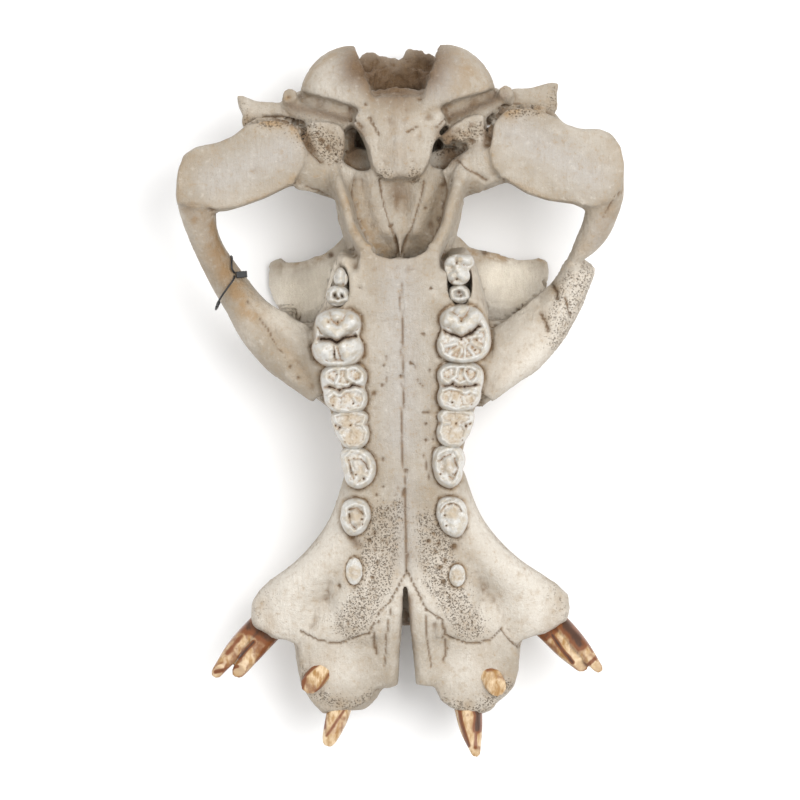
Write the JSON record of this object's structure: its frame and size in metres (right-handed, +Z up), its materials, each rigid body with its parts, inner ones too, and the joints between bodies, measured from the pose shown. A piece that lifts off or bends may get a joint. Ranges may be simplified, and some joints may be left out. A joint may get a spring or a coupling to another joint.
{
  "type": "hippopotamus skull",
  "caption": "Natural cranium of a young hippopotamus lying palate up, with cheek teeth, tusks and incisors, and a wire tag loop on one cheekbone.",
  "frame": {"origin": "on the floor that the skull rests on, under the middle of the object's bounding box", "axes": "+Z up and towards the palate's side, +Y towards the occiput along the skull's length, +X the animal's right"},
  "size_m": [0.3782, 0.6005, 0.1762],
  "materials": {
    "bone": "matte weathered bone, cream to grey-white",
    "enamel": "satin tooth enamel with brown stain in the folds",
    "tusk_ivory": "satin honey-brown ivory",
    "tag_wire": "black coated wire and crimp"
  },
  "bodies": {
    "root": {"cranium": "bone", "left_first_premolar": "enamel", "left_second_premolar": "enamel", "left_third_premolar": "enamel", "left_fourth_premolar": "enamel", "left_first_molar": "enamel", "left_second_molar": "enamel", "left_third_molar": "enamel", "left_canine": "tusk_ivory", "left_first_incisor": "tusk_ivory", "left_second_incisor": "tusk_ivory", "right_first_premolar": "enamel", "right_second_premolar": "enamel", "right_third_premolar": "enamel", "right_fourth_premolar": "enamel", "right_first_molar": "enamel", "right_second_molar": "enamel", "right_third_molar": "enamel", "right_canine": "tusk_ivory", "right_first_incisor": "tusk_ivory", "right_second_incisor": "tusk_ivory", "tag_wire": "tag_wire", "tag_crimp": "tag_wire"}
  },
  "joints": []
}
